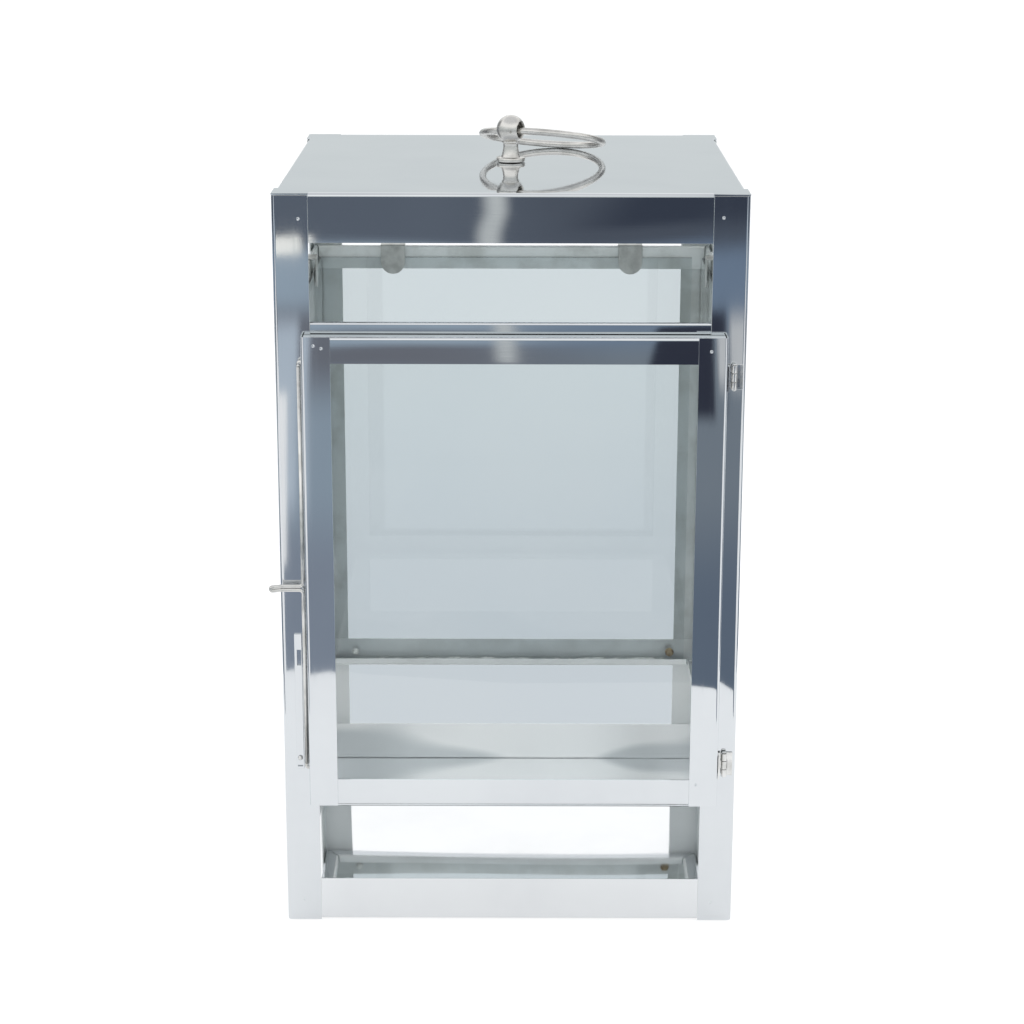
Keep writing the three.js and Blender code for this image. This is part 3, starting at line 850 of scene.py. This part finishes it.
# where the white table ends and the darker room begins, from the left round to the right
TABLE_EDGE = [
    (-6.0, -6.0), (-1.5, -1.9), (-0.33, -1.45), (-0.26, -1.33), (-0.212, -0.90), (-0.186, -0.62),
    (-0.174, -0.54), (-0.15, -0.553), (-0.13, -0.56), (-0.11, -0.55), (0.0, -0.53), (0.13, -0.533),
    (0.15, -0.528), (0.17, -0.50), (0.2, -0.46), (0.3, -0.40), (0.36, -1.2), (1.5, -1.7), (6.0, -6.0),
]
CARD_Z = 0.001
# the room's colours, from near to far: distances that each blends in between, and the colour there
ROOM_LEFT_NEAR = (0.25, 0.29, 0.355, 1)
ROOM_LEFT = [
    ((0.8, 1.1), (0.30, 0.37, 0.44, 1)),
    ((1.3, 1.6), (0.17, 0.18, 0.21, 1)),
    ((1.75, 1.95), (0.35, 0.43, 0.51, 1)),
    ((2.2, 2.38), (0.12, 0.142, 0.18, 1)),
]
ROOM_RIGHT_NEAR = (0.13, 0.165, 0.22, 1)
ROOM_RIGHT = [
    ((0.7, 1.1), (0.20, 0.235, 0.275, 1)),
    ((1.6, 2.0), (0.18, 0.24, 0.33, 1)),
    ((2.2, 2.4), (0.085, 0.10, 0.13, 1)),
]
ROOM_MIDDLE = (-0.12, 0.16)                   # the left colours blend into the right ones here


def only_reflected(thing):
    thing.visible_camera = False
    thing.visible_diffuse = False
    thing.visible_transmission = False
    thing.visible_shadow = False


def turned_quarter(thing, quarter):
    thing.matrix_world = Matrix.Rotation(quarter * math.pi / 2, 4, "Z") @ thing.matrix_world


def blended(nodes, value, colour, bands):
    """A colour that changes from band to band as the value grows."""
    for edges, following in bands:
        colour = nodes.mix(nodes.remap(value, *edges), colour, following)
    return colour


def studio_card(quarter):
    """The darker room beyond the white table on one side, which only the reflections see."""
    card = plane(f"studio_{quarter}", TABLE_EDGE, CARD_Z)
    material, nodes = new_material(f"studio_{quarter}")
    across, depth = nodes.split(nodes.place())[:2]
    ahead = nodes.math("MULTIPLY", depth, -1.0)
    left = blended(nodes, ahead, ROOM_LEFT_NEAR, ROOM_LEFT)
    right = blended(nodes, ahead, ROOM_RIGHT_NEAR, ROOM_RIGHT)
    finish_glow(nodes, nodes.mix(nodes.remap(across, *ROOM_MIDDLE), left, right))
    card.data.materials.append(material)
    turned_quarter(card, quarter)
    only_reflected(card)


# soft things lying in the room: name, middle (x, y), half size (x, y), turn in degrees,
# how far out the full colour reaches (x, y), colour, height
PATCHES = [
    ("left_glow", (-0.308, -1.38), (0.085, 0.50), -5, (0.88, 0.6), (0.52, 0.59, 0.67), 0.002),
    ("left_white", (-0.284, -1.11), (0.062, 0.33), -5, (0.92, 0.85), (1.0, 1.0, 1.0), 0.003),
    ("left_cream", (-0.372, -2.31), (0.074, 0.10), -7, (0.8, 0.6), (1.15, 1.13, 1.06), 0.003),
    ("right_dark", (0.216, -1.62), (0.056, 0.30), 5, (0.8, 0.7), (0.035, 0.04, 0.06), 0.002),
    ("right_glow", (0.341, -1.66), (0.062, 0.26), 5, (0.85, 0.3), (0.60, 0.61, 0.62), 0.003),
    ("far_right_dark", (0.40, -2.85), (0.32, 0.42), 5, (0.6, 0.6), (0.045, 0.055, 0.08), 0.002),
]


def soft_patch(quarter, name, middle, half, angle, full, colour, height):
    """A soft-edged light or dark patch on the studio floor."""
    corners = [(-half[0], -half[1]), (half[0], -half[1]), (half[0], half[1]), (-half[0], half[1])]
    patch = plane(f"studio_{name}_{quarter}", corners, 0)
    material, nodes = new_material(f"studio_{name}_{quarter}")
    split = nodes.split(nodes.place())
    mask = 1.0
    for axis in range(2):
        away = nodes.math("ABSOLUTE", split[axis])
        edge = nodes.remap(away, half[axis], half[axis] * full[axis])
        mask = nodes.math("MULTIPLY", mask, edge)
    finish_glow(nodes, (*colour, 1), mask=mask)
    patch.data.materials.append(material)
    turn = Matrix.Rotation(math.radians(angle), 4, "Z")
    patch.matrix_world = Matrix.Translation((*middle, height)) @ turn
    turned_quarter(patch, quarter)
    only_reflected(patch)


# the gap of light: its card, how far off it stands, and where across it is bright, in metres
SLIT_CORNERS = [(-0.09, 0), (0.03, 0), (0.03, 0.4), (-0.09, 0.4)]
SLIT_AWAY = -1.6
SLIT_BEND_LOW = (0.06, 0.12)                  # the crook grows between these heights
SLIT_BEND_HIGH = (0.19, 0.135)                # and goes between these
SLIT_CROOK = -0.009
SLIT_MIDDLE = -0.009
SLIT_EDGE = (0.020, 0.002)
SLIT_COLOUR = (0.96, 1, 1, 1)
SLIT_STRENGTH = 0.6


def light_slit(quarter):
    """A narrow, slightly crooked gap of light standing far in the room."""
    slit = plane(f"studio_slit_{quarter}", SLIT_CORNERS, 0)
    slit.matrix_world = Matrix.Translation((0, SLIT_AWAY, 0)) @ Matrix.Rotation(math.pi / 2, 4, "X")
    material, nodes = new_material(f"studio_slit_{quarter}")
    across, up = nodes.split(nodes.place())[:2]
    bends = [nodes.remap(up, *heights) for heights in (SLIT_BEND_LOW, SLIT_BEND_HIGH)]
    crook = nodes.math("MULTIPLY", *bends)
    middle = nodes.math("MULTIPLY_ADD", crook, SLIT_CROOK, SLIT_MIDDLE)
    away = nodes.math("ABSOLUTE", nodes.math("SUBTRACT", across, middle))
    finish_glow(nodes, SLIT_COLOUR, SLIT_STRENGTH, mask=nodes.remap(away, *SLIT_EDGE))
    slit.data.materials.append(material)
    turned_quarter(slit, quarter)
    only_reflected(slit)


# the side screens: heights, soft edges, colour, and the (x, y) ends of each
SCREEN_LOW = 0.36
SCREEN_HIGH = 1.7
SCREEN_FULL_BELOW = 1.0
SCREEN_EDGE = (0.5, 0.15)                     # shares of the length, from the middle
SCREEN_COLOUR = (0.20, 0.20, 0.21, 1)
SCREENS = [
    ("studio_screen_left", (-1.5, 0.35), (-0.75, 1.4)),
    ("studio_screen_right", (0.75, 1.4), (1.5, 0.35)),
]


def side_screen(name, start, end):
    """A dark screen standing beside the table, above the height the flat roof reflects."""
    screen = plane(name, [(0, SCREEN_LOW), (1, SCREEN_LOW), (1, SCREEN_HIGH), (0, SCREEN_HIGH)], 0)
    along = Vector(end) - Vector(start)
    turn = Matrix.Rotation(math.atan2(along.y, along.x), 4, "Z") @ Matrix.Rotation(math.pi / 2, 4, "X")
    size = Matrix.Diagonal((along.length, 1, 1, 1))
    screen.matrix_world = Matrix.Translation((*start, 0)) @ turn @ size
    material, nodes = new_material(name)
    split = nodes.split(nodes.place())
    off_middle = nodes.math("ABSOLUTE", nodes.math("SUBTRACT", split[0], 0.5))
    across = nodes.remap(off_middle, *SCREEN_EDGE)
    up = nodes.remap(split[1], SCREEN_HIGH, SCREEN_FULL_BELOW)
    finish_glow(nodes, SCREEN_COLOUR, mask=nodes.math("MULTIPLY", across, up))
    screen.data.materials.append(material)
    only_reflected(screen)


TONE_Z = -0.0002
# near the lantern the tone is darker: painted shade of the lantern on the table, fading out between these
# distances
TONE_SHADE_DISTANCES = (0.25, 1.5)
TONE_NEAR_PAINTED_SHADE = (0.63, 0.675, 0.715, 1)
TONE_FAR = (0.695, 0.75, 0.775, 1)


def tone_and_painted_shade_behind_glass():
    """Through the panes the table reads a little greyer than the bare white backdrop, and darker near the
    lantern, where its shade on the table is painted in.
    """
    tone = plane("studio_tone_and_painted_shade", FAR_CORNERS, TONE_Z)
    material, nodes = new_material("studio_tone_and_painted_shade")
    split = nodes.split(nodes.place())
    squares = [nodes.math("MULTIPLY", part, part) for part in split[:2]]
    away = nodes.math("SQRT", nodes.math("ADD", *squares))
    finish_glow(nodes, nodes.mix(nodes.remap(away, *TONE_SHADE_DISTANCES), TONE_NEAR_PAINTED_SHADE, TONE_FAR))
    tone.data.materials.append(material)
    tone.visible_camera = False
    tone.visible_diffuse = False
    tone.visible_glossy = False
    tone.visible_shadow = False


def make_studio():
    for quarter in range(4):
        studio_card(quarter)
        for patch in PATCHES:
            soft_patch(quarter, *patch)
        light_slit(quarter)
    for screen in SCREENS:
        side_screen(*screen)
    tone_and_painted_shade_behind_glass()


# the world, by the upward part of a direction: colour near the horizon, in a bright band, overhead
HORIZON = (0.675, 0.715, 0.725, 1)
BAND_EDGE = (0.2, 0.34)
BAND = (1.18, 1.18, 1.18, 1)
OVERHEAD_EDGE = (0.6, 0.85)
OVERHEAD = (0.75, 0.76, 0.78, 1)
BACKDROP = (1.05, 1.05, 1.05, 1)              # what the camera sees directly
GLASS_PASSES = 3.0                            # a ray that crossed fewer glass faces gets the tone


def make_world():
    world = bpy.data.worlds.new("studio")
    bpy.context.scene.world = world
    world.use_nodes = True
    nodes = Nodes(world.node_tree)
    direction = nodes.add("ShaderNodeTexCoord").outputs["Generated"]
    height = nodes.split(direction)[2]
    colour = nodes.mix(nodes.remap(height, *BAND_EDGE), HORIZON, BAND)
    colour = nodes.mix(nodes.remap(height, *OVERHEAD_EDGE), colour, OVERHEAD)
    path = nodes.add("ShaderNodeLightPath").outputs
    one_pane = nodes.math("LESS_THAN", path["Transmission Depth"], GLASS_PASSES)
    behind_glass = nodes.math("MULTIPLY", path["Is Transmission Ray"], one_pane)
    colour = nodes.mix(behind_glass, colour, TONE_FAR)
    colour = nodes.mix(path["Is Camera Ray"], colour, BACKDROP)
    background = nodes.add("ShaderNodeBackground", {"Color": colour, "Strength": 1.0})
    output = nodes.add("ShaderNodeOutputWorld")
    nodes.put(output.inputs["Surface"], background.outputs[0])


LAMP_SIZE = 2.2
LAMP_WATTS = 32.0
LAMP_PLACE = (0.0, 0.2, 2.4)


def make_light():
    data = bpy.data.lights.new("overhead", "AREA")
    data.shape = "SQUARE"
    data.size = LAMP_SIZE
    data.energy = LAMP_WATTS
    light = link_object("overhead", data)
    light.location = LAMP_PLACE
    light.visible_glossy = False


make_camera()
dress_cad_nodes()
make_finial()
make_ring()
make_latch()
make_weld_marks()
make_glue()
make_floor()
make_studio()
make_world()
make_light()
bpy.context.scene.view_settings.view_transform = "Standard"
